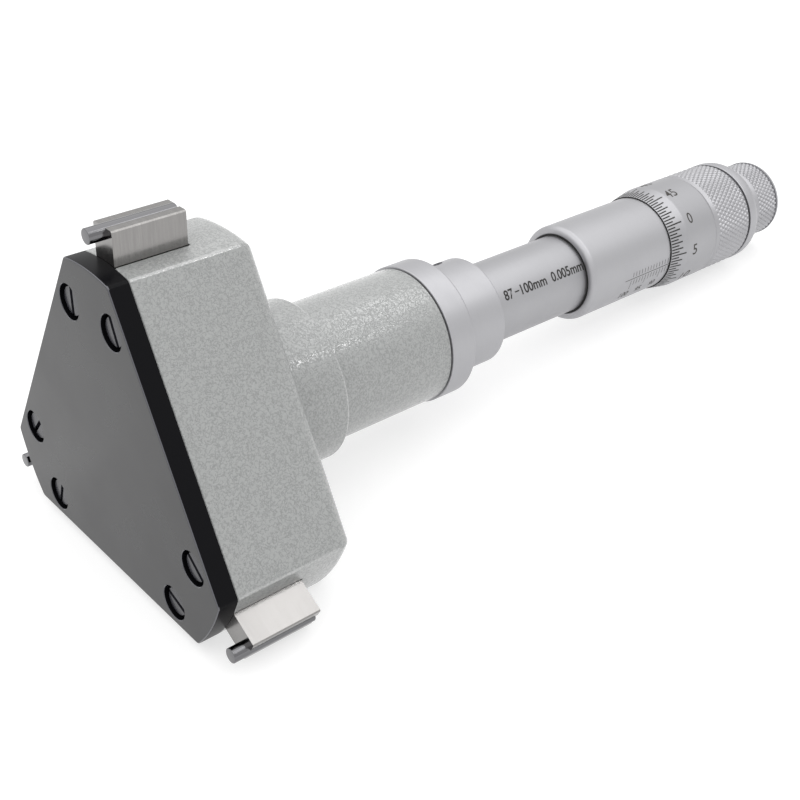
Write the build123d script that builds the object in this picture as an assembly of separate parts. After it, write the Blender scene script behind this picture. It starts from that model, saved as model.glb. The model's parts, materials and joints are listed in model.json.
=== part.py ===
from build123d import *
import os
from math import asin, atan, atan2, cos, degrees, hypot, radians, sin

# Inside micrometer with three anvils, range 87 to 100 mm, at its smallest reading.
# It is drawn with its axis on X, the front of the cover at x = 0, the handle towards +X and
# one anvil straight up. All lengths are in mm. At the end the whole is laid down as it rests.

# Measuring travel
range_low = 87.0
stroke = 13.0
turn_step = 0.5
slope = 0.5
slope_angle = atan(slope)
anvil_travel = stroke * slope
contact_r = range_low / 2

# Clearances
slide_gap = 0.06
run_gap = 0.05
free_gap = 0.35
thimble_gap = 0.07
swivel_gap = 0.3
end_room = 1.0

# Anvils and contact pins
block_w = 5.8
block_edge = 0.25
block_step = 0.4
block_room = 1.14
block_tail = 7.0
carriage_lead = 4.1
carriage_tail = 5.8
carriage_inset = 9.8
pin_r = 1.4
pin_front = 0.8
pin_sink = 0.4
pin_edge = 0.15
pin_centre = contact_r - pin_r

# Cover and casing
anvil_angles = (90.0, 210.0, 330.0)
head_inset = 6.7
arc_r = contact_r - head_inset
flat_inset = 12.5
flat_distance = arc_r - flat_inset
cover_t = 3.9
cover_corner = 1.0
cover_edge = 0.25
casing_room = 11.8
casing_end = cover_t + stroke + casing_room
casing_corner = 0.8
casing_rear_round = 3.0
block_front = cover_t + slide_gap
block_rear = block_front + stroke + block_room
block_outer = contact_r - block_step
carriage_front = block_rear - carriage_lead
carriage_rear = block_rear + carriage_tail
carriage_outer = arc_r - carriage_inset
block_inner = carriage_outer - block_tail

# Cover screws
screw_inset = 9.1
screw_land = 4.0
screw_radial = arc_r - screw_inset
screw_side = block_w / 2 + screw_land
screw_r = 1.5
screw_rim = 1.25
screw_head_r = screw_r + screw_rim
screw_head_t = 1.2
screw_edge = 0.2
screw_floor = 1.0
screw_seat = cover_t - screw_floor
screw_length = 11.0
screw_hole_room = 0.5
screw_hole_gap = 0.2
screw_pocket_gap = 0.3
screw_pocket_r = screw_head_r + screw_pocket_gap
screw_slot_w = 0.8
screw_slot_depth = 0.6

# Spreader: a cone with three inclined T slots, which move the anvils both ways
spreader_room = 1.1
spreader_front = cover_t + stroke + spreader_room
spreader_front_r = 5.0
spreader_land = 3.6
spreader_rear = spreader_front + stroke + spreader_land
spreader_rear_r = spreader_front_r + slope * (spreader_rear - spreader_front)
key_stem_w = 2.6
key_head_w = 4.4
key_lip = 1.1
key_head = 1.2
key_root = 0.5
key_set = 0.2
key_length = 3.2
key_front = spreader_front + key_set
key_rear = key_front + key_length
slot_rise = 3.0
slot_lead = 4.0
stem_r = 4.0

# Boss and neck of the casing
spreader_bore_gap = 0.3
spreader_bore_r = spreader_rear_r + spreader_bore_gap
spreader_bore_room = 2.4
spreader_bore_end = spreader_rear + spreader_bore_room
boss_wall = 2.8
boss_r = spreader_bore_r + boss_wall
boss_floor = 5.8
boss_end = spreader_bore_end + boss_floor
boss_root = 6.0
boss_round = 1.6
neck_step = 2.2
neck_r = boss_r - neck_step
neck_length = 27.5
neck_end = boss_end + neck_length
neck_chamfer = 0.4

# Guide bush in the neck
bush_wall = 6.0
neck_bore_r = stem_r + bush_wall
bush_set = 0.8
bush_front = boss_end - bush_set

# Swivel between spreader stem and spindle
cap_wall = 0.9
cap_r = stem_r + cap_wall
spindle_neck_r = 1.5
button_rim = 1.2
button_r = spindle_neck_r + button_rim
cap_hole_gap = 0.4
cap_hole_r = spindle_neck_r + cap_hole_gap
cap_chamber_gap = 0.5
cap_chamber_r = button_r + cap_chamber_gap
cap_grip = 4.0
cap_reach = 5.2
cap_lip = 2.0

# Collar, barrel nut and barrel
collar_rim = 0.4
collar_r = neck_r + collar_rim
collar_length = 6.4
collar_end = neck_end + collar_length
collar_spigot_length = 8.0
collar_spigot = neck_end - collar_spigot_length
bush_room = 2.3
bush_rear = collar_spigot - bush_room
collar_groove = 0.8
collar_groove_r = collar_r - collar_groove
collar_groove_w = 0.3
collar_front_edge = 0.25
collar_edge = 0.4
barrel_bore_gap = 0.7
barrel_bore_r = cap_r + barrel_bore_gap
barrel_wall = 3.22
barrel_r = barrel_bore_r + barrel_wall
barrel_set = 0.7
barrel_front = neck_end + barrel_set
barrel_length = 77.0
barrel_end = barrel_front + barrel_length
nut_wall = 2.78
nut_r = barrel_r + nut_wall
nut_length = 11.2
nut_end = collar_end + nut_length
nut_edge = 0.3
spanner_hole_r = 2.3
spanner_hole_set = 5.7
spanner_hole_x = collar_end + spanner_hole_set
spanner_hole_depth = 2.4
stem_reach = 8.0
stem_end = barrel_front + stroke + stem_reach
cap_front = stem_end - cap_grip
cap_end = stem_end + cap_reach

# Graduated sleeve
sleeve_wall = 2.13
sleeve_r = barrel_r + sleeve_wall
sleeve_length = 32.2
sleeve_front = barrel_end - sleeve_length
sleeve_lip_gap = 0.48
sleeve_lip_r = barrel_r + sleeve_lip_gap
sleeve_lip_depth = 3.6
sleeve_round = 1.3

# Spindle, its nut and the adjusting nut
spindle_step = 0.9
spindle_r = button_r + spindle_step
spindle_front = cap_end + swivel_gap
spindle_edge = 0.5
spindle_seat_step = 0.6
spindle_seat_r = spindle_r - spindle_seat_step
spindle_nut_length = 24.0
nut_front = barrel_end - spindle_nut_length
adjuster_t = 4.0
nut_rear = barrel_end + adjuster_t
adjuster_step = 0.82
adjuster_r = barrel_r - adjuster_step

# Thimble
thimble_lap = 5.8
thimble_front = barrel_end - thimble_lap
thimble_bore_r = sleeve_r + thimble_gap
thimble_shell = 1.13
thimble_r = thimble_bore_r + thimble_shell
thimble_lip_t = 0.2
thimble_bevel = 5.2
thimble_bevel_end = thimble_front + thimble_bevel
thimble_wall = nut_rear + stroke + end_room
thimble_wall_t = 4.7
thimble_end = thimble_wall + thimble_wall_t
thimble_chamfer = 0.35
knurl_length = 13.5
groove_x = thimble_end - knurl_length
groove_fall = 0.7
groove_w = 1.7
groove_depth = 0.28
thimble_spigot_step = 2.65
thimble_spigot_r = thimble_r - thimble_spigot_step
thimble_spigot_length = 2.7
thimble_spigot_end = thimble_end + thimble_spigot_length
hub_step = 1.4
hub_wall = 1.6
spindle_rear = thimble_spigot_end - hub_step
end_ring_length = 4.5
end_ring_end = thimble_end + end_ring_length
end_ring_round = 2.6
end_ring_lip = 1.6
end_ring_hole_r = thimble_spigot_r - end_ring_lip
end_ring_groove_w = 0.25
end_ring_groove = 0.6

# Ratchet and knob
stud_step = 1.0
stud_r = spindle_seat_r - stud_step
clutch_rim = 4.0
clutch_r = stud_r + clutch_rim
clutch_t = 2.2
knob_set = 0.4
knob_front = end_ring_end + knob_set
knob_neck_gap = 0.4
knob_neck_r = end_ring_hole_r - knob_neck_gap
knob_cone = 2.9
knob_cone_end = knob_front + knob_cone
knob_flare = 1.7
knob_r = knob_neck_r + knob_flare
knob_length = 11.5
knob_end = knob_front + knob_length
stud_set = 2.5
stud_end = knob_end - stud_set
knob_round = 1.4
clutch_gap = 0.4
knob_front_bore_r = clutch_r + clutch_gap
knob_web_front = clutch_t + thimble_spigot_end + run_gap
spring_room = 2.6
knob_web_rear = stud_end - spring_room
knob_screw_rim = 2.4
knob_screw_head_r = stud_r + knob_screw_rim
knob_screw_head_t = 1.2
knob_screw_gap = 0.8
knob_rear_bore_r = knob_screw_head_r + knob_screw_gap
knob_screw_r = stud_r / 2
knob_screw_length = 4.0
knob_screw_root = 0.1
knob_slot_w = 0.9
knob_slot_depth = 0.5
spring_step = 0.2
spring_r = knob_screw_head_r - spring_step
spring_t = 0.5


def turned(*points):
    """Solid of revolution about X through (x, radius) points."""
    return revolve(make_face(Polyline(*points, close=True)), Axis.X, 360)


def rims(part, x, r):
    """Circular edges of a turned part at x with radius r."""
    found = part.edges().filter_by(GeomType.CIRCLE)
    return [e for e in found if abs(e.arc_center.X - x) < 0.01 and abs(e.radius - r) < 0.01]


def plan_face(flat, arc, corner):
    """Outline of the head: three flats with arcs between them at the anvils."""
    ring = [(2 * flat * cos(radians(a)), 2 * flat * sin(radians(a))) for a in anvil_angles]
    face = make_face(Polyline(*ring, close=True)) & Circle(arc)
    return fillet(face.vertices(), corner) if corner else face


def prism(face, x0, x1):
    """Outline drawn in YZ, pulled from x0 to x1."""
    return extrude(Plane.YZ.offset(x0) * face, x1 - x0)


def upright(points, width):
    """Outline given as (x, height), pulled to both sides of the XZ plane."""
    return extrude(Plane.XZ * make_face(Polyline(*points, close=True)), width / 2, both=True)


def thrice(part):
    """The same part at each of the three anvils."""
    return [Rot(a - anvil_angles[0], 0, 0) * part for a in anvil_angles]


def spreader_r(x):
    """Radius of the spreader cone at x."""
    return spreader_front_r + slope * (x - spreader_front)


def slope_plane(x):
    """Plane square to the cone line at x, with its y axis pointing away from the cone."""
    along = (cos(slope_angle), 0, sin(slope_angle))
    return Plane(origin=(x, 0, spreader_r(x)), x_dir=(0, 1, 0), z_dir=along)


def t_section(gap, top):
    """T section of the key, or of its slot with a gap all round."""
    lip = key_lip - gap
    bottom = key_lip + key_head + gap
    head = Pos(0, -(lip + bottom) / 2) * Rectangle(key_head_w + 2 * gap, bottom - lip)
    stem_h = top + (lip + bottom) / 2
    stem = Pos(0, top - stem_h / 2) * Rectangle(key_stem_w + 2 * gap, stem_h)
    return head + stem


nodes = {}

# Head casing: one painted casting with the boss and the neck
casing = prism(plan_face(flat_distance, arc_r, casing_corner), cover_t, casing_end)
disc = turned((cover_t, 0), (cover_t, arc_r), (casing_end, arc_r), (casing_end, 0))
casing &= fillet(rims(disc, casing_end, arc_r), casing_rear_round)
slab = extrude(Plane.XZ * make_face(Polyline((cover_t, -flat_distance), (casing_end, -flat_distance),
                                             (casing_end, 2 * arc_r), (cover_t, 2 * arc_r),
                                             close=True)), 2 * arc_r, both=True)
lowest = slab.edges().filter_by(Axis.Y).sort_by(Axis.Z)[:2].sort_by(Axis.X)[-1]
for cut in thrice(fillet(lowest, casing_rear_round)):
    casing &= cut
handle = turned((casing_end - boss_root, 0), (casing_end - boss_root, boss_r),
                (boss_end, boss_r),
                (boss_end, neck_r), (neck_end, neck_r), (neck_end, 0))
handle = fillet(rims(handle, boss_end, boss_r), boss_round)
handle = chamfer(rims(handle, boss_end, neck_r), neck_chamfer)
casing += handle
casing -= turned((0, 0), (0, spreader_bore_r), (spreader_bore_end, spreader_bore_r),
                 (spreader_bore_end, neck_bore_r), (neck_end + end_room, neck_bore_r),
                 (neck_end + end_room, 0))
slot_w = block_w + 2 * slide_gap
slot_end = carriage_outer + anvil_travel + end_room / 2
slot_top = arc_r + head_inset
slot = upright([(0, 0), (0, slot_top), (block_rear + slide_gap, slot_top),
                (block_rear + slide_gap, slot_end), (carriage_rear + slide_gap, slot_end),
                (carriage_rear + slide_gap, 0)], slot_w)
for cut in thrice(slot):
    casing -= cut
screw_spots = [(s * screw_side, screw_radial) for s in (-1, 1)]
for side, height in screw_spots:
    hole = turned((0, 0), (0, screw_r), (screw_seat + screw_length + screw_hole_room, screw_r),
                  (screw_seat + screw_length + screw_hole_room, 0))
    for cut in thrice(Pos(0, side, height) * hole):
        casing -= cut
nodes["head_casing"] = casing

# Front cover with six sunk screw holes
cover = prism(plan_face(flat_distance, arc_r, cover_corner), 0, cover_t)
cover = chamfer(cover.faces().sort_by(Axis.X)[0].edges(), cover_edge)
for side, height in screw_spots:
    hole = turned((-end_room, 0), (-end_room, screw_pocket_r), (screw_seat, screw_pocket_r),
                  (screw_seat, screw_r + screw_hole_gap),
                  (cover_t + end_room, screw_r + screw_hole_gap), (cover_t + end_room, 0))
    for cut in thrice(Pos(0, side, height) * hole):
        cover -= cut
nodes["front_cover"] = cover

# Slotted cheese-head screws, each turned a little differently
screw = turned((screw_seat - screw_head_t, 0), (screw_seat - screw_head_t, screw_head_r),
               (screw_seat, screw_head_r), (screw_seat, screw_r),
               (screw_seat + screw_length, screw_r), (screw_seat + screw_length, 0))
screw = chamfer(rims(screw, screw_seat - screw_head_t, screw_head_r), screw_edge)
screw -= Pos(screw_seat - screw_head_t, 0, 0) * Box(2 * screw_slot_depth, 3 * screw_head_r, screw_slot_w)
screws = []
for n, angle in enumerate(anvil_angles):
    for m, (side, height) in enumerate(screw_spots):
        turn = Rot(18 + 47 * (2 * n + m), 0, 0)
        screws.append(Rot(angle - anvil_angles[0], 0, 0) * Pos(0, side, height) * turn * screw)
nodes["cover_screws"] = Compound(children=screws)

# Anvils: an outer block in a radial slot, an inner carriage and an inclined T key
rise = slide_gap / cos(slope_angle)
anvil = upright([(block_front, block_inner), (block_front, block_outer), (block_rear, block_outer),
                 (block_rear, carriage_outer), (carriage_rear, carriage_outer),
                 (carriage_rear, spreader_r(carriage_rear) + rise),
                 (carriage_front, spreader_r(carriage_front) + rise),
                 (carriage_front, block_inner)], block_w)
edges = [e for e in anvil.edges() if e.center().Z > (block_outer + carriage_outer) / 2
         and abs(e.center().Y) > block_w / 2 - 0.01]
anvil = chamfer(edges, block_edge)
pin_hole = Pos(0, 0, pin_centre) * Rot(0, 90, 0) * Cylinder(pin_r, 4 * block_rear)
anvil -= pin_hole
key_run = (key_rear - key_front) / cos(slope_angle)
anvil += extrude(slope_plane(key_front) * t_section(0, key_root), key_run)
pin = turned((pin_front, 0), (pin_front, pin_r), (block_rear - pin_sink, pin_r),
             (block_rear - pin_sink, 0))
pin = chamfer(rims(pin, pin_front, pin_r), pin_edge)
pin = Pos(0, 0, pin_centre) * pin
for n, (one_anvil, one_pin) in enumerate(zip(thrice(anvil), thrice(pin)), 1):
    nodes[f"anvil_{n}"] = one_anvil
    nodes[f"contact_pin_{n}"] = one_pin

# Spreader cone with its stem
spreader = turned((spreader_front, 0), (spreader_front, spreader_front_r),
                  (spreader_rear, spreader_r(spreader_rear)), (spreader_rear, stem_r),
                  (stem_end, stem_r), (stem_end, 0))
slot_run = (spreader_rear - spreader_front + 2 * slot_lead) / cos(slope_angle)
slot_start = slope_plane(spreader_front - slot_lead)
for cut in thrice(extrude(slot_start * t_section(slide_gap, slot_rise), slot_run)):
    spreader -= cut
nodes["spreader_cone"] = spreader

# Swivel cap: holds the spindle button to the stem, so the spindle also draws the spreader back
nodes["swivel_cap"] = turned(
    (cap_front, stem_r), (cap_front, cap_r), (cap_end, cap_r), (cap_end, cap_hole_r),
    (cap_end - cap_lip, cap_hole_r), (cap_end - cap_lip, cap_chamber_r),
    (stem_end, cap_chamber_r), (stem_end, stem_r))

nodes["guide_bush"] = turned((bush_front, stem_r + run_gap), (bush_front, neck_bore_r),
                             (bush_rear, neck_bore_r), (bush_rear, stem_r + run_gap))

# Clamp collar behind the neck
collar = turned((collar_spigot, stem_r + free_gap), (collar_spigot, neck_bore_r),
                (neck_end, neck_bore_r), (neck_end, collar_groove_r),
                (neck_end + collar_groove_w, collar_groove_r),
                (neck_end + collar_groove_w, collar_r), (collar_end, collar_r),
                (collar_end, barrel_r), (barrel_front, barrel_r),
                (barrel_front, stem_r + free_gap))
collar = chamfer(rims(collar, neck_end + collar_groove_w, collar_r), collar_front_edge)
nodes["clamp_collar"] = chamfer(rims(collar, collar_end, collar_r), collar_edge)

# Barrel nut with two opposite spanner holes
nut = turned((collar_end, barrel_r), (collar_end, nut_r), (nut_end, nut_r), (nut_end, barrel_r))
nut = chamfer(rims(nut, nut_end, nut_r), nut_edge)
for angle in (151, 331):
    spot = Rot(angle, 0, 0) * Pos(spanner_hole_x, 0, nut_r)
    nut -= spot * Cylinder(spanner_hole_r, 2 * spanner_hole_depth)
nodes["barrel_nut"] = nut

nodes["barrel"] = turned((barrel_front, barrel_bore_r), (barrel_front, barrel_r),
                         (barrel_end, barrel_r), (barrel_end, barrel_bore_r))

# Graduated sleeve
sleeve = turned((sleeve_front, sleeve_lip_r), (sleeve_front, sleeve_r), (barrel_end, sleeve_r),
                (barrel_end, barrel_r), (sleeve_front + sleeve_lip_depth, barrel_r),
                (sleeve_front + sleeve_lip_depth, sleeve_lip_r))
nodes["graduated_sleeve"] = fillet(rims(sleeve, sleeve_front, sleeve_r), sleeve_round)

# Spindle nut in the barrel and the adjusting nut behind it
nodes["spindle_nut"] = turned((nut_front, spindle_r + run_gap), (nut_front, barrel_bore_r),
                              (nut_rear, barrel_bore_r), (nut_rear, spindle_r + run_gap))
nodes["adjusting_nut"] = turned((barrel_end, barrel_bore_r), (barrel_end, adjuster_r),
                                (nut_rear, adjuster_r), (nut_rear, barrel_bore_r))

# Spindle with its button in front and the ratchet stud behind
spindle = turned((stem_end + run_gap, 0), (stem_end + run_gap, button_r),
                 (cap_end - cap_lip - run_gap, button_r),
                 (cap_end - cap_lip - run_gap, spindle_neck_r), (spindle_front, spindle_neck_r),
                 (spindle_front, spindle_r), (thimble_wall, spindle_r),
                 (thimble_wall, spindle_seat_r), (spindle_rear, spindle_seat_r),
                 (spindle_rear, stud_r), (stud_end, stud_r), (stud_end, knob_screw_r),
                 (stud_end - knob_screw_length, knob_screw_r), (stud_end - knob_screw_length, 0))
nodes["spindle"] = chamfer(rims(spindle, spindle_front, spindle_r), spindle_edge)

# Thimble
thimble = turned((thimble_front, thimble_bore_r), (thimble_front, thimble_bore_r + thimble_lip_t),
                 (thimble_bevel_end, thimble_r), (groove_x, thimble_r),
                 (groove_x + groove_fall, thimble_r - groove_depth),
                 (groove_x + groove_w, thimble_r), (thimble_end, thimble_r),
                 (thimble_end, thimble_spigot_r), (thimble_spigot_end, thimble_spigot_r),
                 (thimble_spigot_end, stud_r + hub_wall), (spindle_rear, stud_r + hub_wall),
                 (spindle_rear, spindle_seat_r), (thimble_wall, spindle_seat_r),
                 (thimble_wall, thimble_bore_r))
nodes["thimble"] = chamfer(rims(thimble, thimble_end, thimble_r), thimble_chamfer)

# End ring behind the knurl
ring = turned((thimble_end, thimble_spigot_r), (thimble_end, thimble_r - end_ring_groove),
              (thimble_end + end_ring_groove_w, thimble_r - end_ring_groove),
              (thimble_end + end_ring_groove_w, thimble_r), (end_ring_end, thimble_r),
              (end_ring_end, end_ring_hole_r), (thimble_spigot_end, end_ring_hole_r),
              (thimble_spigot_end, thimble_spigot_r))
nodes["end_ring"] = fillet(rims(ring, end_ring_end, thimble_r), end_ring_round)

# Ratchet clutch disc on the spindle stud
nodes["ratchet_clutch"] = turned(
    (thimble_spigot_end, stud_r), (thimble_spigot_end, clutch_r),
    (thimble_spigot_end + clutch_t, clutch_r), (thimble_spigot_end + clutch_t, stud_r))

# Ratchet knob, turning on the stud
knob = turned((knob_front, knob_front_bore_r), (knob_front, knob_neck_r),
              (knob_cone_end, knob_r), (knob_end, knob_r), (knob_end, knob_rear_bore_r),
              (knob_web_rear, knob_rear_bore_r), (knob_web_rear, stud_r + run_gap),
              (knob_web_front, stud_r + run_gap), (knob_web_front, knob_front_bore_r))
knob = fillet(rims(knob, knob_end, knob_r), knob_round)
nodes["ratchet_knob"] = knob

# Knob screw in the end of the stud, and the disc spring that presses the knob on the clutch
head_front = stud_end
knob_screw = turned((head_front, 0), (head_front, knob_screw_head_r),
                    (head_front + knob_screw_head_t, knob_screw_head_r),
                    (head_front + knob_screw_head_t, 0))
knob_screw += turned((head_front - knob_screw_length, 0),
                     (head_front - knob_screw_length, knob_screw_r),
                     (head_front + knob_screw_root, knob_screw_r),
                     (head_front + knob_screw_root, 0))
knob_screw -= (Pos(head_front + knob_screw_head_t, 0, 0)
               * Box(2 * knob_slot_depth, 3 * knob_screw_head_r, knob_slot_w))
nodes["knob_screw"] = chamfer(rims(knob_screw, head_front + knob_screw_head_t,
                                   knob_screw_head_r), screw_edge)
nodes["ratchet_spring"] = turned(
    (knob_web_rear, stud_r + run_gap), (stud_end - spring_t, spring_r), (stud_end, spring_r),
    (knob_web_rear + spring_t, stud_r + run_gap))

# Resting pose: the rear edge of the lowest flat and the end of the thimble touch the table
edge_x = casing_end - casing_rear_round
edge_h = flat_distance - casing_rear_round
rim_x = end_ring_end - end_ring_round
rim_h = thimble_r - end_ring_round
span = hypot(rim_x - edge_x, edge_h - rim_h)
tilt = atan2(edge_h - rim_h, rim_x - edge_x)
tilt += asin((casing_rear_round - end_ring_round) / span)
laid = {name: Rot(0, degrees(tilt), 0) * part for name, part in nodes.items()}
box = Compound(children=[Compound(p.wrapped) for p in laid.values()]).bounding_box()
shift = Pos(-(box.min.X + box.max.X) / 2, -(box.min.Y + box.max.Y) / 2, -box.min.Z)

os.makedirs("parts", exist_ok=True)
for name, part in laid.items():
    export_step(shift * part, f"parts/{name}.step")
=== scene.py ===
import json
import math

import bmesh
import bpy
from mathutils import Matrix, Vector


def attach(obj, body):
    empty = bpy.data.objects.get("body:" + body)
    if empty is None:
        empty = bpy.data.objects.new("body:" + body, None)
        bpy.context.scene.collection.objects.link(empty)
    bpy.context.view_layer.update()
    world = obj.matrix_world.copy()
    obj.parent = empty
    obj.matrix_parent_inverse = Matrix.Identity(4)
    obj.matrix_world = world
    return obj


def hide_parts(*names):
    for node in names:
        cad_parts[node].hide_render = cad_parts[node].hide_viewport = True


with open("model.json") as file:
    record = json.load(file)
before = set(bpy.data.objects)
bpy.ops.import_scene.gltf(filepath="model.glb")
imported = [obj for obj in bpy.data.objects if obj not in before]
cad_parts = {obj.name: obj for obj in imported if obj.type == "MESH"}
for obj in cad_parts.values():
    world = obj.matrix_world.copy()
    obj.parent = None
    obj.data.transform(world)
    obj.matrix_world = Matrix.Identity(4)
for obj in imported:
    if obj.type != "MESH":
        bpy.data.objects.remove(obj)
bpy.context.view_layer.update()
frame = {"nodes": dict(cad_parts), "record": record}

# Instrument frame: x in mm along the axis from the front of the cover, the first anvil up
face = next(m for m in frame["record"]["mounts"] if m["name"] == "front_face")
origin = Vector(face["pos_m"])
rear = -Vector(face["axis"]).normalized()
across = Vector((0, 1, 0))
up = rear.cross(across)
turn = Matrix((rear, across, up)).transposed()
to_row = Matrix.Translation(origin) @ turn.to_4x4() @ Matrix.Scale(0.001, 4)

# Sizes in mm. The outside is as in the CAD, apart from the boss's rounding, the cover screws,
# the anvils' slots, the joint lines of the collar and end ring, and fine edges. Hidden bores
# are simpler.

# Head casing, boss and neck
anvil_angles = (90.0, 210.0, 330.0)
flat_distance = 24.3
arc_r = 36.8
cover_t = 3.9
casing_end = 28.7
casing_corner = 0.8
casing_front_edge = 0.25
casing_rear_round = 3.0
casing_round_steps = 8
boss_r = 16.4
boss_end = 42.8
boss_round = 0.9
neck_r = 14.2
neck_end = 70.3
neck_fillet = 0.5
body_overlap = 2
edge_break = 0.15

# Front cover and its screws
cover_corner = 1.0
cover_edge = 0.3
cover_edge_steps = 4
screw_radial = 27.7
screw_side = 6.9
screw_head_r = 2.7
screw_top = 0.65
screw_edge = 0.12
screw_seat = 2.9
screw_sink = 0.2
screw_pocket_r = 3.3
pocket_chamfer = 0.12
pocket_flare = 0.5
screw_slot_w = 0.9
screw_slot_depth = 1.2
screw_slot_reach = 4
screw_slots = (67.6, 89.1, 19.8, 39.0, 129.1, 107.9)
cut_room = 1

# Anvils and contact pins
block_w = 5.8
block_rear = 18.1
slot_side_gap = 0.2
slot_end_gap = 0.35
slot_inner_r = 20
slot_outer_r = 45
pin_r = 1.4
pin_front = 0.8
pin_rear = block_rear - 0.4
pin_rear_edge = 0.1
pin_centre = 42.1

# Collar, nut and barrel
collar_r = 14.6
collar_relief_r = 13.8
collar_bore_r = 8
collar_joint = 0.15
collar_front_edge = 0.18
collar_rear_edge = 0.5
collar_end = 76.7
nut_r = 11.6
nut_end = 87.9
nut_overlap = 0.5
nut_edge = 0.35
spanner_hole_angles = (151, 331)
spanner_hole_r = 2.3
spanner_hole_x = 82.4
spanner_hole_depth = 2.4
spanner_cut_length = 5
barrel_r = 8.82
barrel_front = 71.0
barrel_bore_r = 5.6
barrel_end = 148.0

# Sleeve and thimble
sleeve_r = 10.95
sleeve_front = 115.8
sleeve_front_round = 1.3
sleeve_lip_r = 9.3
sleeve_lip_length = 3.6
thimble_front = 142.2
thimble_r = 12.15
thimble_lip_t = 0.2
thimble_lip_edge = 0.08
thimble_bevel_end = 147.4
thimble_bevel_round = 1.5
thimble_bore_r = sleeve_r + 0.07
thimble_wall = 166.0
thimble_end = 170.7
thimble_shoulder = 0.2
thimble_shoulder_rim = 0.4
thimble_spigot_r = 9.5
thimble_spigot_end = 173.4
spindle_bore_r = 3.6
groove_front = 157.2
groove_x = 157.9
groove_depth = 0.28
groove_edge = 0.3
groove_floor_round = 0.2
groove_rear_drop = 0.04
knurl_start = 158.9
knurl_end = 170.4
knurl_seat = 0.5
knurl_rear_drop = 0.8

# End ring and ratchet knob
end_ring_end = 175.2
end_ring_round = 2.6
end_ring_bore_r = 9
end_ring_hole_r = 7.9
end_ring_step = 0.25
end_ring_step_drop = 0.9
ring_edge = 0.2
knob_front = 175.6
knob_inner_front = 175.65
knob_inner_r = 6.4
knob_neck_r = 7.5
knob_cone_end = 178.5
knob_cone_edge = 0.1
knob_r = 9.2
knob_end = 187.1
knob_round = 1.4
knob_round_slack = 0.05
knob_recess_r = 5.2
knob_recess_floor = 182
knob_stud_bore_r = 2.05

# Diamond knurls: mesh steps along a diamond's edge, share of its top that is flat, taper at the
# ends, thickness of the ring
knurl_fine = 4
knurl_flat = 0.22
knurl_taper = 0.35
knurl_wall = 0.55

# Points round a turned piece
segments_small = 64
segments_screw = 72
segments_wide = 256

# Where the enamel stands thicker: degrees off a flat, cosine off an arc, distance from the axis
ridge_turn = 4
ridge_cosine = 0.9985
ridge_r = 36
ridge_side_normal = 0.05
ridge_boss_normals = (0.15, 0.95)

# Lean of a face of the cover, as x of its normal: up to these it is the front or the rounded edge,
# which has a painted highlight
cover_front_normal = -0.95
cover_edge_normal = -0.2

# Mesh steps of the head's outline
flat_steps = 12
corner_steps = 6
arc_steps = 16


# Mesh helpers
def add_piece(name, bm, material, body, *nodes, angle=32, even=True):
    """Turns a bmesh in instrument mm into a piece that rides on a body."""
    bmesh.ops.remove_doubles(bm, verts=bm.verts, dist=1e-5)
    bmesh.ops.recalc_face_normals(bm, faces=bm.faces)
    limit = math.radians(angle)
    for f in bm.faces:
        f.smooth = True
    for e in bm.edges:
        if len(e.link_faces) == 2 and e.calc_face_angle(0) > limit:
            e.smooth = False
    mesh = bpy.data.meshes.new(name)
    bm.to_mesh(mesh)
    bm.free()
    mesh.transform(to_row)
    obj = bpy.data.objects.new(name, mesh)
    bpy.context.scene.collection.objects.link(obj)
    mesh.materials.append(material)
    if even:
        weigh = obj.modifiers.new("even", "WEIGHTED_NORMAL")
        weigh.keep_sharp = True
        weigh.weight = 100
        obj.data = baked(obj)
    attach(obj, body)
    if nodes:
        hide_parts(*nodes)
    return obj


def rounded(points):
    """Outline through (x, r) or (x, r, fillet) points, with the fillets drawn as arcs."""
    out = []
    count = len(points)
    for i, p in enumerate(points):
        if len(p) == 2 or p[2] == 0:
            out.append((p[0], p[1]))
            continue
        here = Vector(p[:2])
        a = (Vector(points[i - 1][:2]) - here).normalized()
        b = (Vector(points[(i + 1) % count][:2]) - here).normalized()
        half = a.angle(b) / 2
        reach = p[2] / math.tan(half)
        centre = here + (a + b).normalized() * (p[2] / math.sin(half))
        start = here + a * reach - centre
        end = here + b * reach - centre
        sweep = start.angle_signed(end)
        steps = max(3, int(abs(math.degrees(sweep)) / 10))
        for k in range(steps + 1):
            t = -sweep * k / steps
            c, s = math.cos(t), math.sin(t)
            out.append((centre.x + start.x * c - start.y * s, centre.y + start.x * s + start.y * c))
    return out


def lathe_mesh(points, segments=192):
    """Solid of revolution about x from a closed outline of (x, r) points."""
    bm = bmesh.new()
    rings = []
    for x, r in points:
        if r < 1e-6:
            rings.append([bm.verts.new((x, 0, 0))] * segments)
            continue
        ring = []
        for k in range(segments):
            a = 2 * math.pi * k / segments
            ring.append(bm.verts.new((x, r * math.cos(a), r * math.sin(a))))
        rings.append(ring)
    for i in range(len(rings)):
        a, b = rings[i], rings[(i + 1) % len(rings)]
        for k in range(segments):
            quad = [a[k], a[(k + 1) % segments], b[(k + 1) % segments], b[k]]
            corners = list(dict.fromkeys(quad))
            if len(corners) > 2:
                bm.faces.new(corners)
    return bm


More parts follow.
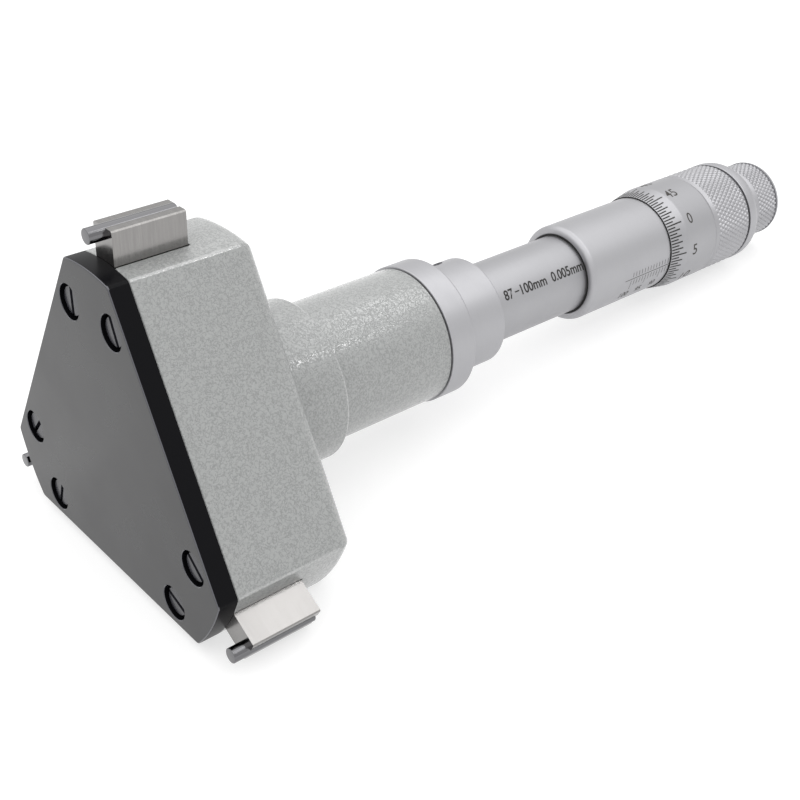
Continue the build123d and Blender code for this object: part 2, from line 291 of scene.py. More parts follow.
def head_outline(flat, arc, corner):
    """Outline of the head in (y, z): three flats, arcs at the anvils, small corner fillets."""
    points = []
    centre_side = math.sqrt((arc - corner) ** 2 - (flat - corner) ** 2)
    lean = math.atan2(centre_side, flat - corner)
    for anvil in anvil_angles:
        normal = math.radians(anvil - 60)
        n = Vector((math.cos(normal), math.sin(normal)))
        t = Vector((-n.y, n.x))
        for k in range(flat_steps + 1):
            s = -centre_side + 2 * centre_side * k / flat_steps
            if 0 < k < flat_steps:
                points.append(n * flat + t * s)
                continue
            middle = n * (flat - corner) + t * s
            for j in range(corner_steps + 1):
                share = j / corner_steps
                swing = lean * (share if k else -1 + share)
                way = Vector((math.cos(normal + swing), math.sin(normal + swing)))
                points.append(middle + way * corner)
        for k in range(1, arc_steps):
            half = math.radians(60) - lean
            a = math.radians(anvil) - half + 2 * half * k / arc_steps
            points.append(Vector((math.cos(a), math.sin(a))) * arc)
    return points


def loft_mesh(sections):
    """Closed solid through (x, outline) sections with equal point counts."""
    bm = bmesh.new()
    rings = [[bm.verts.new((x, p.x, p.y)) for p in outline] for x, outline in sections]
    for a, b in zip(rings, rings[1:]):
        for k in range(len(a)):
            j = (k + 1) % len(a)
            bm.faces.new((a[k], a[j], b[j], b[k]))
    bm.faces.new(rings[0])
    bm.faces.new(rings[-1])
    return bm


def baked(obj):
    """Mesh of an object with its modifiers applied."""
    bpy.context.view_layer.update()
    done = bpy.data.meshes.new_from_object(
        obj.evaluated_get(bpy.context.evaluated_depsgraph_get()))
    obj.modifiers.clear()
    return done


def joined(parts):
    """One bmesh from several."""
    whole = bmesh.new()
    for bm in parts:
        bmesh.ops.recalc_face_normals(bm, faces=bm.faces)
        mesh = bpy.data.meshes.new("part")
        bm.to_mesh(mesh)
        bm.free()
        whole.from_mesh(mesh)
    return whole


def subtract(solid, cutters):
    """Bmesh of a solid with the cutters, which don't touch each other, cut out of it."""
    made = []
    for bm in (solid, joined(cutters)):
        bmesh.ops.recalc_face_normals(bm, faces=bm.faces)
        mesh = bpy.data.meshes.new("work")
        bm.to_mesh(mesh)
        bm.free()
        obj = bpy.data.objects.new("work", mesh)
        bpy.context.scene.collection.objects.link(obj)
        made.append(obj)
    modifier = made[0].modifiers.new("cut", "BOOLEAN")
    modifier.operation = "DIFFERENCE"
    modifier.solver = "EXACT"
    modifier.object = made[1]
    result = bmesh.new()
    result.from_mesh(baked(made[0]))
    for obj in made:
        bpy.data.objects.remove(obj)
    return result


def turned_about(bm, angle, move=(0, 0, 0)):
    """Moves a bmesh, then turns it about the instrument axis by an angle in degrees."""
    bm.transform(Matrix.Rotation(math.radians(angle), 4, "X") @ Matrix.Translation(move))
    return bm


def box_mesh(x0, x1, y0, y1, z0, z1):
    """Box between the given limits."""
    bm = bmesh.new()
    bmesh.ops.create_cube(bm, size=1.0)
    for v in bm.verts:
        v.co.x = x0 if v.co.x < 0 else x1
        v.co.y = y0 if v.co.y < 0 else y1
        v.co.z = z0 if v.co.z < 0 else z1
    return bm


# Material helpers
def new_material(name):
    """Material, its nodes, its shader, and the point in instrument mm for its textures."""
    m = bpy.data.materials.new(name)
    m.use_nodes = True
    tree = m.node_tree
    shader = next(n for n in tree.nodes if n.type == "BSDF_PRINCIPLED")
    coords = tree.nodes.new("ShaderNodeTexCoord")
    place = tree.nodes.new("ShaderNodeMapping")
    back = turn.transposed()
    place.inputs["Scale"].default_value = (1000, 1000, 1000)
    place.inputs["Rotation"].default_value = back.to_euler()
    place.inputs["Location"].default_value = -(back @ origin) * 1000
    tree.links.new(coords.outputs["Object"], place.inputs["Vector"])
    return m, tree, shader, place.outputs["Vector"]


def node(tree, kind, **values):
    """New node with sockets or settings set by name."""
    n = tree.nodes.new(kind)
    for key, value in values.items():
        if key in n.inputs:
            n.inputs[key].default_value = value
        else:
            setattr(n, key, value)
    return n


def stretch(tree, vector, scale):
    """Texture point scaled by axis, for grain that runs one way."""
    m = tree.nodes.new("ShaderNodeMapping")
    m.inputs["Scale"].default_value = scale
    tree.links.new(vector, m.inputs["Vector"])
    return m.outputs["Vector"]


def ramp(tree, source, stops):
    """Colour ramp through (position, colour) stops."""
    r = tree.nodes.new("ShaderNodeValToRGB")
    r.color_ramp.elements[0].position = stops[0][0]
    r.color_ramp.elements[0].color = stops[0][1]
    r.color_ramp.elements[1].position = stops[-1][0]
    r.color_ramp.elements[1].color = stops[-1][1]
    for position, colour in stops[1:-1]:
        r.color_ramp.elements.new(position).color = colour
    tree.links.new(source, r.inputs["Fac"])
    return r.outputs["Color"]


def grey(v):
    """Opaque grey for a ramp."""
    return (v, v, v, 1)


def bump(tree, shader, height, distance, strength):
    """Bump on the shader's normal, with its depth, distance, in metres."""
    b = tree.nodes.new("ShaderNodeBump")
    b.inputs["Strength"].default_value = strength
    b.inputs["Distance"].default_value = distance
    tree.links.new(height, b.inputs["Height"])
    tree.links.new(b.outputs["Normal"], shader.inputs["Normal"])
    return b.outputs["Normal"]


def hammer_paint(name, coat_ior=1.6):
    """Hammertone enamel: fine veins and specks under a clear coat."""
    m, tree, shader, mm = new_material(name)
    big = node(tree, "ShaderNodeTexNoise", Scale=1.25, Detail=3.0, Roughness=0.62,
               Distortion=0.35)
    tree.links.new(mm, big.inputs["Vector"])
    # Thin worm-like veins where the noise passes its middle value
    off = node(tree, "ShaderNodeMath", operation="SUBTRACT")
    off.inputs[1].default_value = 0.5
    tree.links.new(big.outputs["Fac"], off.inputs[0])
    size = node(tree, "ShaderNodeMath", operation="ABSOLUTE")
    tree.links.new(off.outputs["Value"], size.inputs[0])
    veins = ramp(tree, size.outputs["Value"],
                 [(0.0, grey(0.0)), (0.018, grey(0.3)), (0.06, grey(1.0))])
    speck = node(tree, "ShaderNodeTexNoise", Scale=2.6, Detail=2.0, Roughness=0.6)
    tree.links.new(mm, speck.inputs["Vector"])
    mix = node(tree, "ShaderNodeMix", data_type="FLOAT")
    mix.inputs["Factor"].default_value = 0.5
    tree.links.new(veins, mix.inputs["A"])
    tree.links.new(speck.outputs["Fac"], mix.inputs["B"])
    colour = ramp(tree, mix.outputs["Result"],
                  [(0.2, (0.205, 0.212, 0.208, 1)), (0.6, (0.286, 0.294, 0.290, 1)),
                   (0.85, (0.342, 0.350, 0.346, 1))])
    tree.links.new(colour, shader.inputs["Base Color"])
    shader.inputs["Roughness"].default_value = 0.45
    shader.inputs["Coat Weight"].default_value = 1.0
    shader.inputs["Coat IOR"].default_value = coat_ior
    shader.inputs["Coat Roughness"].default_value = 0.13
    skin = bump(tree, shader, mix.outputs["Result"], 0.00006, 0.7)
    tree.links.new(skin, shader.inputs["Coat Normal"])
    return m


def chrome(name, base, roughness=0.46, rings=True):
    """Satin metal tinted in fine rings round the axis, which are also bump where rings is set."""
    m, tree, shader, mm = new_material(name)
    shader.inputs["Metallic"].default_value = 1.0
    fine = node(tree, "ShaderNodeTexNoise", Scale=1.0, Detail=2.0)
    tree.links.new(stretch(tree, mm, (14.0, 0.25, 0.25)), fine.inputs["Vector"])
    tint = ramp(tree, fine.outputs["Fac"],
                [(0.3, (base * 0.97, base * 0.967, base, 1)),
                 (0.7, (base, base * 0.997, base * 1.035, 1))])
    tree.links.new(tint, shader.inputs["Base Color"])
    cloud = node(tree, "ShaderNodeTexNoise", Scale=0.15, Detail=3.0)
    tree.links.new(mm, cloud.inputs["Vector"])
    rough = ramp(tree, cloud.outputs["Fac"],
                 [(0.3, grey(roughness - 0.03)), (0.7, grey(roughness + 0.04))])
    tree.links.new(rough, shader.inputs["Roughness"])
    if rings:
        bump(tree, shader, fine.outputs["Fac"], 0.000004, 0.35)
    return m


def ground_steel(name, base, roughness):
    """Ground steel with brush lines across the axis."""
    m, tree, shader, mm = new_material(name)
    shader.inputs["Metallic"].default_value = 1.0
    grain = node(tree, "ShaderNodeTexNoise", Scale=1.0, Detail=5.0, Roughness=0.75)
    tree.links.new(stretch(tree, mm, (3.2, 0.12, 0.12)), grain.inputs["Vector"])
    tint = ramp(tree, grain.outputs["Fac"],
                [(0.3, (base * 0.80, base * 0.78, base * 0.765, 1)),
                 (0.7, (base, base * 0.975, base * 0.95, 1))])
    tree.links.new(tint, shader.inputs["Base Color"])
    rough = ramp(tree, grain.outputs["Fac"],
                 [(0.3, grey(roughness - 0.04)), (0.7, grey(roughness + 0.08))])
    tree.links.new(rough, shader.inputs["Roughness"])
    bump(tree, shader, grain.outputs["Fac"], 0.000003, 0.2)
    return m


def black_steel(name, base, roughness, shine):
    """Blackened steel, slightly blue; shine is its specular level."""
    m, tree, shader, mm = new_material(name)
    fine = node(tree, "ShaderNodeTexNoise", Scale=5.0, Detail=3.0)
    tree.links.new(mm, fine.inputs["Vector"])
    tint = ramp(tree, fine.outputs["Fac"],
                [(0.3, (base * 0.9, base * 0.9, base * 1.1, 1)),
                 (0.7, (base * 1.1, base * 1.1, base * 1.4, 1))])
    tree.links.new(tint, shader.inputs["Base Color"])
    shader.inputs["Specular IOR Level"].default_value = shine
    cloud = node(tree, "ShaderNodeTexNoise", Scale=0.08, Detail=2.0)
    tree.links.new(mm, cloud.inputs["Vector"])
    rough = ramp(tree, cloud.outputs["Fac"],
                 [(0.3, grey(roughness - 0.03)), (0.7, grey(roughness + 0.03))])
    tree.links.new(rough, shader.inputs["Roughness"])
    bump(tree, shader, fine.outputs["Fac"], 0.000003, 0.3)
    return m


def ink(name, value):
    """Dull dark filling of an engraved mark, or near-black painted shade in a gap."""
    m, tree, shader, mm = new_material(name)
    fine = node(tree, "ShaderNodeTexNoise", Scale=8.0, Detail=2.0)
    tree.links.new(mm, fine.inputs["Vector"])
    tint = ramp(tree, fine.outputs["Fac"], [(0.3, (value * 0.9, value * 0.8, value * 0.7, 1)),
                                            (0.7, (value * 1.3, value * 1.2, value * 1.05, 1))])
    tree.links.new(tint, shader.inputs["Base Color"])
    shader.inputs["Roughness"].default_value = 0.6
    return m


paint = hammer_paint("hammer_paint")
paint_ridge = hammer_paint("paint_ridge", 2.3)
satin = chrome("satin_chrome", base=0.412)
handle_chrome = chrome("handle_chrome", base=0.382)
bright = chrome("bright_chrome", base=0.40, roughness=0.42, rings=False)
steel = ground_steel("ground_steel", 0.29, 0.16)
carbide = chrome("carbide", base=0.165, roughness=0.12)
black = black_steel("black_cover", 0.006, 0.29, 0.50)
# Darker, duller copy of the cover's black for its sides: painted shade
black_side_shade = black_steel("black_side_shade", 0.004, 0.30, 0.08)
# Lighter, shinier copy of the cover's black for its rounded front edge: a painted highlight
black_edge_highlight = black_steel("black_edge_highlight", 0.055, 0.25, 1.0)
black_screw = black_steel("black_screw", 0.028, 0.26, 0.50)
plain = chrome("plain_steel", base=0.46, roughness=0.34)
bronze = chrome("bronze", base=0.44, roughness=0.34)
mark = ink("engraving", 0.010)
pale_mark = ink("pale_engraving", 0.035)
# Near-black for painted shade in the gaps
dark = ink("shadow_black", 0.002)

# Head casing, with the slots of the anvils cut through its rim
casing_sections = [
    (cover_t, head_outline(flat_distance - casing_front_edge, arc_r - casing_front_edge,
                           casing_corner)),
    (cover_t + casing_front_edge, head_outline(flat_distance, arc_r, casing_corner))]
for k in range(casing_round_steps + 1):
    a = math.pi / 2 * k / casing_round_steps
    inset = casing_rear_round * (1 - math.cos(a))
    x = casing_end - casing_rear_round * (1 - math.sin(a))
    casing_sections.append((x, head_outline(flat_distance - inset, arc_r - inset, casing_corner)))
slot_half = block_w / 2 + slot_side_gap
casing = subtract(loft_mesh(casing_sections), [
    turned_about(box_mesh(0, block_rear + slot_end_gap, -slot_half, slot_half,
                          slot_inner_r, slot_outer_r), anvil - 90) for anvil in anvil_angles])
# The enamel stands thicker and glossier along the long corners, between a flat and an arc
casing.normal_update()
for f in casing.faces:
    middle = f.calc_center_median()
    face_angle = math.degrees(math.atan2(f.normal.z, f.normal.y))
    off_flat = abs((face_angle - 30) % 120 - 60) < 60 - ridge_turn
    off_arc = Vector((f.normal.y, f.normal.z)).normalized().dot(
        Vector((middle.y, middle.z)).normalized()) < ridge_cosine
    on_side = abs(f.normal.x) < ridge_side_normal
    if on_side and off_flat and off_arc and middle.yz.length > ridge_r:
        f.material_index = 1
casing = add_piece("head_shell", casing, paint, "head", "head_casing")
casing.data.materials.append(paint_ridge)
neck_root = casing_end - body_overlap
neck = lathe_mesh(rounded([
    (neck_root, 0), (neck_root, boss_r), (boss_end, boss_r, boss_round),
    (boss_end, neck_r, neck_fillet), (neck_end, neck_r, edge_break), (neck_end, 0)]))
neck.normal_update()
for f in neck.faces:
    on_round = boss_end - boss_round < f.calc_center_median().x < boss_end
    if on_round and ridge_boss_normals[0] < f.normal.x < ridge_boss_normals[1]:
        f.material_index = 1
neck = add_piece("neck_shell", neck, paint, "head")
neck.data.materials.append(paint_ridge)

# Front cover with sunk screw holes
cover_sections = []
for k in range(cover_edge_steps + 1):
    a = math.pi / 2 * k / cover_edge_steps
    inset = cover_edge * (1 - math.sin(a))
    cover_sections.append((cover_edge * (1 - math.cos(a)),
                           head_outline(flat_distance - inset, arc_r - inset, cover_corner)))
cover_sections.append((cover_t, head_outline(flat_distance, arc_r, cover_corner)))
screw_spots = [(anvil, s * screw_side) for anvil in anvil_angles for s in (-1, 1)]
screw_hole = [(-cut_room, 0), (-cut_room, screw_pocket_r + pocket_flare),
              (0, screw_pocket_r + pocket_chamfer), (pocket_chamfer, screw_pocket_r),
              (screw_seat, screw_pocket_r), (screw_seat, 0)]
screw_holes = [turned_about(lathe_mesh(screw_hole, segments_screw), anvil - 90,
                            (0, side, screw_radial)) for anvil, side in screw_spots]
cover = subtract(loft_mesh(cover_sections), screw_holes)
cover.normal_update()
# Material 0 on the front, 2 on its rounded edge, a lighter black as a painted highlight, 1 on the
# sides, a darker, duller black as painted shade
for f in cover.faces:
    lean = f.normal.x
    f.material_index = 0 if lean < cover_front_normal else 2 if lean < cover_edge_normal else 1
cover = add_piece("cover_plate", cover, black, "head", "front_cover")
cover.data.materials.append(black_side_shade)
cover.data.materials.append(black_edge_highlight)

# Slotted screws
screw_base = screw_seat + screw_sink
screws = []
for n, (anvil, side) in enumerate(screw_spots):
    screw = lathe_mesh(rounded([(screw_top, 0), (screw_top, screw_head_r, screw_edge),
                                (screw_base, screw_head_r), (screw_base, 0)]), segments_screw)
    screw = subtract(screw, [box_mesh(screw_top - cut_room, screw_top + screw_slot_depth,
                                      -screw_slot_reach, screw_slot_reach,
                                      -screw_slot_w / 2, screw_slot_w / 2)])
    screw.transform(Matrix.Rotation(math.radians(anvil - 90), 4, "X")
                    @ Matrix.Translation((0, side, screw_radial))
                    @ Matrix.Rotation(math.radians(screw_slots[n] + 90 - anvil), 4, "X"))
    screws.append(screw)
screw_set = add_piece("slotted_screws", joined(screws), black_screw, "head", "cover_screws")

# Contact pins
for n, anvil in enumerate(anvil_angles, 1):
    pin = lathe_mesh(rounded([(pin_front, 0), (pin_front, pin_r, edge_break),
                              (pin_rear, pin_r, pin_rear_edge), (pin_rear, 0)]), segments_small)
    pin = turned_about(pin, anvil - 90, (0, 0, pin_centre))
    add_piece(f"pin_rod_{n}", pin, carbide, "anvil_" + "abc"[n - 1], f"contact_pin_{n}")

# Collar, nut and barrel
collar_root = neck_end - body_overlap
collar_front = neck_end + collar_joint
collar = lathe_mesh(rounded([
    (collar_root, collar_bore_r), (collar_root, collar_relief_r), (collar_front, collar_relief_r),
    (collar_front, collar_r, collar_front_edge), (collar_end, collar_r, collar_rear_edge),
    (collar_end, collar_bore_r)]))
add_piece("collar_ring", collar, satin, "head", "clamp_collar")
nut_root = collar_end - nut_overlap
nut = lathe_mesh(rounded([(nut_root, collar_bore_r), (nut_root, nut_r),
                          (nut_end, nut_r, nut_edge), (nut_end, collar_bore_r)]))
spanner_holes = []
for angle in spanner_hole_angles:
    hole = lathe_mesh(rounded([(0, 0), (0, spanner_hole_r), (spanner_cut_length, spanner_hole_r),
                               (spanner_cut_length, 0)]), segments_small)
    hole.transform(Matrix.Rotation(math.radians(angle), 4, "X")
                   @ Matrix.Translation((spanner_hole_x, 0, nut_r - spanner_hole_depth))
                   @ Matrix.Rotation(math.radians(-90), 4, "Y"))
    spanner_holes.append(hole)
nut = subtract(nut, spanner_holes)
add_piece("nut_ring", nut, satin, "head", "barrel_nut")
barrel = lathe_mesh([(barrel_front, barrel_bore_r), (barrel_front, barrel_r),
                     (barrel_end, barrel_r), (barrel_end, barrel_bore_r)])
add_piece("barrel_tube", barrel, handle_chrome, "head", "barrel")

# Graduated sleeve, with a ring of painted shade just inside its lip
sleeve_lip_end = sleeve_front + sleeve_lip_length
sleeve = lathe_mesh(rounded([
    (sleeve_front, sleeve_lip_r, edge_break), (sleeve_front, sleeve_r, sleeve_front_round),
    (barrel_end, sleeve_r), (barrel_end, barrel_r), (sleeve_lip_end, barrel_r),
    (sleeve_lip_end, sleeve_lip_r)]))
add_piece("sleeve_tube", sleeve, satin, "head", "graduated_sleeve")
# Near-black ring of painted shade in the clearance between the lip and the barrel
gap_x0, gap_x1 = sleeve_front + 0.12, sleeve_front + 0.7
gap_r0, gap_r1 = barrel_r - 0.1, sleeve_lip_r + 0.03
sleeve_gap_shade = lathe_mesh([(gap_x0, gap_r0), (gap_x0, gap_r1), (gap_x1, gap_r1), (gap_x1, gap_r0)])
add_piece("sleeve_gap_shade", sleeve_gap_shade, dark, "head")


# Diamond knurl, meshed along its two families of grooves
def knurl_mesh(x0, x1, radius, around, pitch, depth):
    """Closed ring of diamonds, each about one pitch long, with a given count around."""
    rows = 2 * knurl_fine * round((x1 - x0) / pitch)
    columns = 2 * knurl_fine * around
    bm = bmesh.new()
    points = {}

    def at(column, row):
        key = (column % columns, row)
        if key not in points:
            x = x0 + (x1 - x0) * row / rows
            a = 2 * math.pi * column / columns
            u = (column + row) / (2 * knurl_fine) % 1.0
            v = (column - row) / (2 * knurl_fine) % 1.0
            low = max(abs(2 * u - 1), abs(2 * v - 1))
            r = radius - depth * max(0, (low - knurl_flat) / (1 - knurl_flat))
            edge = min(x - x0, x1 - x)
            r = min(r, radius - depth * (1 - edge / knurl_taper))
            points[key] = bm.verts.new((x, r * math.cos(a), r * math.sin(a)))
        return points[key]

    for row in range(rows + 1):
        for column in range(1 + row % 2, columns + 1, 2):
            corners = [at(column - 1, row)]
            if row < rows:
                corners.append(at(column, row + 1))
            corners.append(at(column + 1, row))
            if row > 0:
                corners.append(at(column, row - 1))
            bm.faces.new(corners)
    # Ends and inner wall, just under the skin of the part that carries the ring
    inner_r = radius - knurl_wall
    rings = []
    for row in (0, rows):
        outer = [at(c, row) for c in range(row % 2, columns, 2)]
        inner = [bm.verts.new((v.co.x, *(v.co.yz.normalized() * inner_r))) for v in outer]
        rings += [outer, inner] if row == 0 else [inner, outer]
    for p, q in zip(rings, rings[1:]):
        for k in range(len(p)):
            j = (k + 1) % len(p)
            bm.faces.new((p[k], p[j], q[j], q[k]))
    return bm


# Thimble: bevelled scale, smooth band, groove and a seat for the knurl
shoulder_x = thimble_end + thimble_shoulder
shoulder_r = thimble_spigot_r + thimble_shoulder_rim
thimble = lathe_mesh(rounded([
    (thimble_front, thimble_bore_r),
    (thimble_front, thimble_bore_r + thimble_lip_t, thimble_lip_edge),
    (thimble_bevel_end, thimble_r, thimble_bevel_round), (groove_front, thimble_r, groove_edge),
    (groove_x, thimble_r - groove_depth, groove_floor_round),
    (knurl_start, thimble_r - groove_rear_drop), (knurl_start, thimble_r - knurl_seat),
    (knurl_end, thimble_r - knurl_seat), (knurl_end, thimble_r - knurl_rear_drop),
    (shoulder_x, thimble_r - knurl_rear_drop), (shoulder_x, shoulder_r), (thimble_end, shoulder_r),
    (thimble_end, thimble_spigot_r), (thimble_spigot_end, thimble_spigot_r),
    (thimble_spigot_end, spindle_bore_r), (thimble_wall, spindle_bore_r),
    (thimble_wall, thimble_bore_r)]), segments_wide)
add_piece("thimble_shell", thimble, handle_chrome, "thimble", "thimble")
knurl = knurl_mesh(knurl_start, knurl_end, thimble_r, around=65, pitch=1.92, depth=0.27)
add_piece("thimble_knurl", knurl, bright, "thimble", angle=12, even=False)
ring_step_x = thimble_end + end_ring_step
ring_step_r = thimble_r - end_ring_step_drop
ring = lathe_mesh(rounded([
    (thimble_end, end_ring_bore_r), (thimble_end, ring_step_r), (ring_step_x, ring_step_r),
    (ring_step_x, thimble_r, ring_edge), (end_ring_end, thimble_r, end_ring_round),
    (end_ring_end, end_ring_hole_r, ring_edge), (thimble_spigot_end, end_ring_hole_r),
    (thimble_spigot_end, end_ring_bore_r)]), segments_wide)
add_piece("end_collar", ring, satin, "thimble", "end_ring")

# Ratchet knob
knob_seat_x = knob_cone_end + knob_cone_edge
knob_cone_r = knob_r - knob_cone_edge
knob_seat_r = knob_r - knurl_seat
knob_knurl_end = knob_end - knob_round
knob = lathe_mesh(rounded([
    (knob_front, knob_inner_r), (knob_front, knob_neck_r, edge_break),
    (knob_cone_end, knob_cone_r, knob_cone_edge), (knob_seat_x, knob_cone_r),
    (knob_seat_x, knob_seat_r), (knob_knurl_end, knob_seat_r), (knob_knurl_end, knob_r),
    (knob_end, knob_r, knob_round - knob_round_slack), (knob_end, knob_recess_r, ring_edge),
    (knob_recess_floor, knob_recess_r), (knob_recess_floor, knob_stud_bore_r),
    (knob_inner_front, knob_stud_bore_r), (knob_inner_front, knob_inner_r)]), segments_wide)
add_piece("knob_body", knob, satin, "knob", "ratchet_knob")
knob_knurl = knurl_mesh(knob_seat_x, knob_knurl_end, knob_r, around=50, pitch=1.8, depth=0.32)
add_piece("knob_knurl", knob_knurl, bright, "knob", angle=12, even=False)

# Engraved marks: thin film of ink just above a turned surface
ink_lift = 0.012
longest_text_edge = 0.6


def ink_strip(bm, x0, x1, angle, width, radius0, radius1):
    """Strip along x at an angle, between two radii."""
    a = math.radians(angle)
    half = width / 2 / radius0
    corners = [(x0, -half, radius0), (x1, -half, radius1), (x1, half, radius1), (x0, half, radius0)]
    verts = [bm.verts.new((x, (r + ink_lift) * math.cos(a + h), (r + ink_lift) * math.sin(a + h)))
             for x, h, r in corners]
    bm.faces.new(verts)


def ink_arc(bm, x, width, a0, a1, radius):
    """Short line round the surface at x, from angle a0 to a1."""
    r = radius + ink_lift
    steps = max(2, int(abs(a1 - a0) / 2))
    rows = []
    for k in range(steps + 1):
        a = math.radians(a0 + (a1 - a0) * k / steps)
        rows.append([bm.verts.new((x + s * width / 2, r * math.cos(a), r * math.sin(a)))
                     for s in (-1, 1)])
    for p, q in zip(rows, rows[1:]):
        bm.faces.new((p[0], p[1], q[1], q[0]))


def wrapped_text(bm, text, x0, length, height, base_angle, radius, bold=0.012):
    """Text along x on a turned surface, its letters standing up round the surface."""
    curve = bpy.data.curves.new("text", "FONT")
    curve.body = text
    curve.resolution_u = 6
    curve.offset = bold
    holder = bpy.data.objects.new("text", curve)
    bpy.context.scene.collection.objects.link(holder)
    bpy.context.view_layer.update()
    mesh = bpy.data.meshes.new_from_object(
        holder.evaluated_get(bpy.context.evaluated_depsgraph_get()))
    bpy.data.objects.remove(holder)
    xs = [v.co.x for v in mesh.vertices]
    ys = [v.co.y for v in mesh.vertices]
    sx = length / (max(xs) - min(xs))
    sy = height / (max(ys) - min(ys))
    part = bmesh.new()
    part.from_mesh(mesh)
    # Long edges are cut, so that the text can follow the round surface
    long_edges = [e for e in part.edges if e.calc_length() * sy > longest_text_edge]
    bmesh.ops.subdivide_edges(part, edges=long_edges, cuts=2, use_grid_fill=False)
    r = radius + ink_lift
    for v in part.verts:
        x = x0 + (v.co.x - min(xs)) * sx
        a = math.radians(base_angle) - (v.co.y - min(ys)) * sy / radius
        v.co = (x, r * math.cos(a), r * math.sin(a))
    flat = bpy.data.meshes.new("flat")
    part.to_mesh(flat)
    part.free()
    bm.from_mesh(flat)


# Range and step on the barrel, each with its start and end along x
barrel_words = (("87", 91.55, 94.2), ("100mm", 96.5, 104.15), ("0.005mm", 105.8, 115.6))
barrel_word_h = 2.25
barrel_word_angle = 152.0
dash_front = 94.65
dash_length = 1.3
dash_t = 0.28
dash_turn = 6.4
barrel_bold = 0.02
barrel_text = bmesh.new()
for text, x0, x1 in barrel_words:
    wrapped_text(barrel_text, text, x0, x1 - x0, barrel_word_h, barrel_word_angle, barrel_r,
                 barrel_bold)
wrapped_text(barrel_text, "-", dash_front, dash_length, dash_t, barrel_word_angle - dash_turn,
             barrel_r)
add_piece("barrel_text", barrel_text, mark, "head")

# Scale on the sleeve: half millimetres above the line, whole ones below it, every fifth longer
line_angle = 185.7
line_front = 126.7
line_rear = thimble_front + 1.5
line_t = 0.16
tick_t = 0.15
first_tick = 128.85
tick_count = 14
whole_start, whole_reach, fifth_reach = 0.35, 1.8, 2.8
half_start, half_reach = 0.4, 1.55
# Each number with its middle along x and its width
sleeve_numbers = ((128.2, "100", 2.9), (133.1, "95", 2.0), (138.0, "90", 2.0))
sleeve_number_h = 1.8
sleeve_number_angle = line_angle + 27.5
per_mm = math.degrees(1 / sleeve_r)
sleeve_scale = bmesh.new()
ink_strip(sleeve_scale, line_front, line_rear, line_angle, line_t, sleeve_r, sleeve_r)
for k in range(tick_count):
    x = first_tick + k
    reach = fifth_reach if k % 5 == 0 else whole_reach
    ink_arc(sleeve_scale, x, tick_t, line_angle + whole_start * per_mm,
            line_angle + reach * per_mm, sleeve_r)
    ink_arc(sleeve_scale, x + 0.5, tick_t, line_angle - half_start * per_mm,
            line_angle - half_reach * per_mm, sleeve_r)
for x, text, width in sleeve_numbers:
    wrapped_text(sleeve_scale, text, x - width / 2, width, sleeve_number_h, sleeve_number_angle,
                 sleeve_r)
add_piece("sleeve_scale", sleeve_scale, pale_mark, "head")

# Scale on the bevel of the thimble, 100 divisions, numbered 0 to 45
zero_angle = 140.4
divisions = 100
numbers = 10
division_t = 0.31
division_start = 0.1
tenth_reach, even_reach, odd_reach = 4.4, 3.35, 2.25
bevel_r0, bevel_r1 = thimble_bore_r + thimble_lip_t, thimble_r
number_x = 149.6
number_h = 2.6
number_rise = 1.25
number_bold = 0.008
digit_w, two_digits_w = 1.5, 3.3


def bevel_r(x):
    """Radius of the bevel at x."""
    t = (x - thimble_front) / (thimble_bevel_end - thimble_front)
    return bevel_r0 + (bevel_r1 - bevel_r0) * min(1, max(0, t))


thimble_scale = bmesh.new()
for k in range(divisions):
    reach = tenth_reach if k % 10 == 0 else even_reach if k % 2 == 0 else odd_reach
    x0, x1 = thimble_front + division_start, thimble_front + reach
    ink_strip(thimble_scale, x0, x1, zero_angle + 360 / divisions * k, division_t,
              bevel_r(x0), bevel_r(x1))
add_piece("thimble_scale", thimble_scale, mark, "thimble")
thimble_numbers = bmesh.new()
for k in range(numbers):
    text = str(5 * k)
    width = digit_w if len(text) == 1 else two_digits_w
    angle = zero_angle + 360 / numbers * k + math.degrees(number_rise / thimble_r)
    wrapped_text(thimble_numbers, text, number_x - width / 2, width, number_h, angle, thimble_r,
                 number_bold)
add_piece("thimble_numbers", thimble_numbers, pale_mark, "thimble")

# Painted shade: a near-black ring in the clearance between the sleeve and the mouth of the thimble
mouth_x0, mouth_x1 = thimble_front - 0.10, thimble_front + 0.1
mouth_r0, mouth_r1 = sleeve_r + 0.03, sleeve_r + 0.25
mouth_gap_shade = lathe_mesh([(mouth_x0, mouth_r0), (mouth_x0, mouth_r1),
                        (mouth_x1, mouth_r1), (mouth_x1, mouth_r0)])
add_piece("mouth_gap_shade", mouth_gap_shade, dark, "thimble")

# Materials of the CAD nodes that stay as they are
plain_nodes = {"guide_bush": bronze, "spindle_nut": bronze, "spreader_cone": steel,
               "anvil_1": steel, "anvil_2": steel, "anvil_3": steel}
for name, obj in frame["nodes"].items():
    obj.data.materials.clear()
    obj.data.materials.append(plain_nodes.get(name, plain))


# Floor, lights and camera
def strength_by_ray(tree, socket, on_matte, seen):
    """One strength for the light on matte surfaces, one as the camera, metal and glass see it."""
    path = tree.nodes.new("ShaderNodeLightPath")
    shine = node(tree, "ShaderNodeMath", operation="MAXIMUM")
    tree.links.new(path.outputs["Is Glossy Ray"], shine.inputs[0])
    tree.links.new(path.outputs["Is Transmission Ray"], shine.inputs[1])
    share = node(tree, "ShaderNodeMath", operation="MAXIMUM")
    tree.links.new(path.outputs["Is Camera Ray"], share.inputs[0])
    tree.links.new(shine.outputs["Value"], share.inputs[1])
    strength = node(tree, "ShaderNodeMath", operation="MULTIPLY_ADD")
    tree.links.new(share.outputs["Value"], strength.inputs[0])
    strength.inputs[1].default_value = seen - on_matte
    strength.inputs[2].default_value = on_matte
    tree.links.new(strength.outputs["Value"], socket)


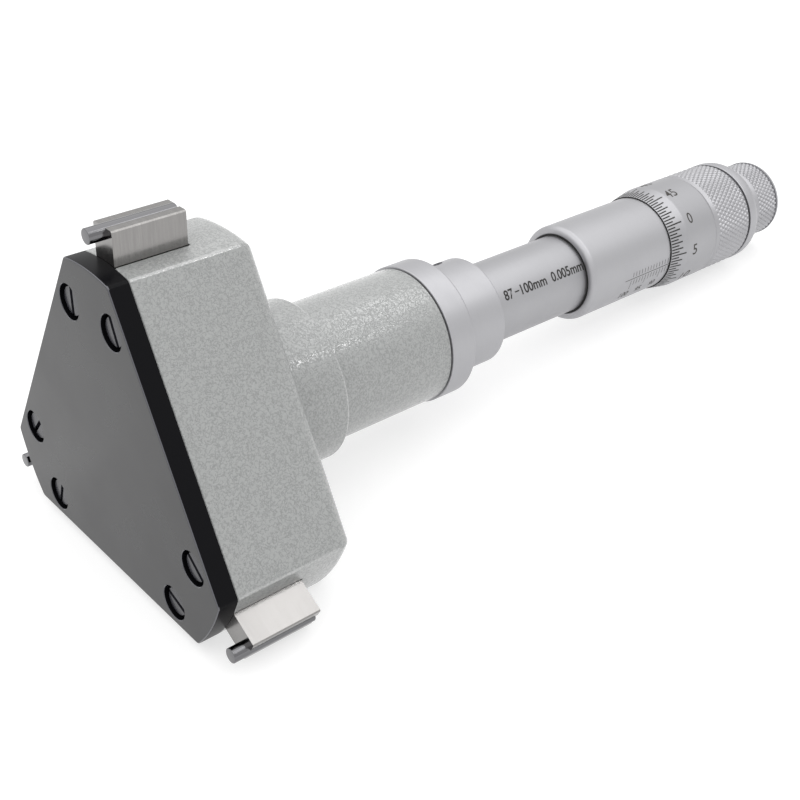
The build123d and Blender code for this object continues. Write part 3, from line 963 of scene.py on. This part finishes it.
floor_mesh = bpy.data.meshes.new("floor")
floor_half = 3.0
floor_corners = [(floor_half * x, floor_half * y, 0) for x, y in ((-1, -1), (1, -1), (1, 1), (-1, 1))]
floor_mesh.from_pydata(floor_corners, [], [(0, 1, 2, 3)])
floor = bpy.data.objects.new("floor", floor_mesh)
bpy.context.scene.collection.objects.link(floor)
floor_mat, tree, shader, mm = new_material("floor")
shader.inputs["Base Color"].default_value = (0.50, 0.50, 0.50, 1)
shader.inputs["Roughness"].default_value = 0.7
shader.inputs["Specular IOR Level"].default_value = 0.1
shader.inputs["Emission Color"].default_value = (1, 1, 1, 1)
strength_by_ray(tree, shader.inputs["Emission Strength"], 0.38, 0.62)
floor_mesh.materials.append(floor_mat)

world = bpy.data.worlds.new("studio")
bpy.context.scene.world = world
world.use_nodes = True
sky = world.node_tree.nodes["Background"]
sky.inputs["Color"].default_value = (1, 1, 1, 1)
strength_by_ray(world.node_tree, sky.inputs["Strength"], 0.70, 1.0)


def area_light(name, place, aim, size, power):
    """Lamp at a place, turned to a point: all in metres and watts."""
    data = bpy.data.lights.new(name, "AREA")
    data.shape = "RECTANGLE"
    data.size, data.size_y = size
    data.energy = power
    obj = bpy.data.objects.new(name, data)
    obj.location = place
    obj.rotation_mode = "QUATERNION"
    obj.rotation_quaternion = (Vector(aim) - Vector(place)).to_track_quat("-Z", "Y")
    bpy.context.scene.collection.objects.link(obj)


area_light("top", (-0.2, 0.2, 1.0), (-0.2, 0.2, 0), (2.4, 2.4), 14.0)
area_light("back", (0.61, 0.03, 0.79), (0, 0, 0.03), (0.6, 0.05), 0.5)
area_light("glint", (0.43, -0.30, 0.83), (-0.08, -0.03, 0.02), (0.16, 0.10), 0.1)
area_light("side", (0.50, -0.515, 0.705), (0, 0, 0.03), (0.22, 0.03), 0.45)

# Camera, placed in the instrument frame by the points measured in the photograph
picture_px = 800
focal_px = 1313.434
sensor_mm = 36.0
cam_data = bpy.data.cameras.new("camera")
cam_data.sensor_width = sensor_mm
cam_data.lens = focal_px * sensor_mm / picture_px
cam_data.shift_x = 30.857 / picture_px
cam_data.shift_y = -35.068 / picture_px
cam_data.clip_start = 0.01
cam_data.clip_end = 20
camera = bpy.data.objects.new("camera", cam_data)
right = Vector((0.768250, -0.639978, 0.014819))
down = Vector((-0.315048, -0.398143, -0.861526))
ahead = Vector((0.557258, 0.657199, -0.507498))
place = to_row @ Vector((-87.8796, -175.4170, 131.7830))
axes = Matrix((turn @ right, turn @ -down, turn @ -ahead)).transposed()
camera.matrix_world = Matrix.Translation(place) @ axes.to_4x4()
bpy.context.scene.collection.objects.link(camera)
bpy.context.scene.camera = camera

settings = bpy.context.scene.view_settings
settings.view_transform = "Standard"
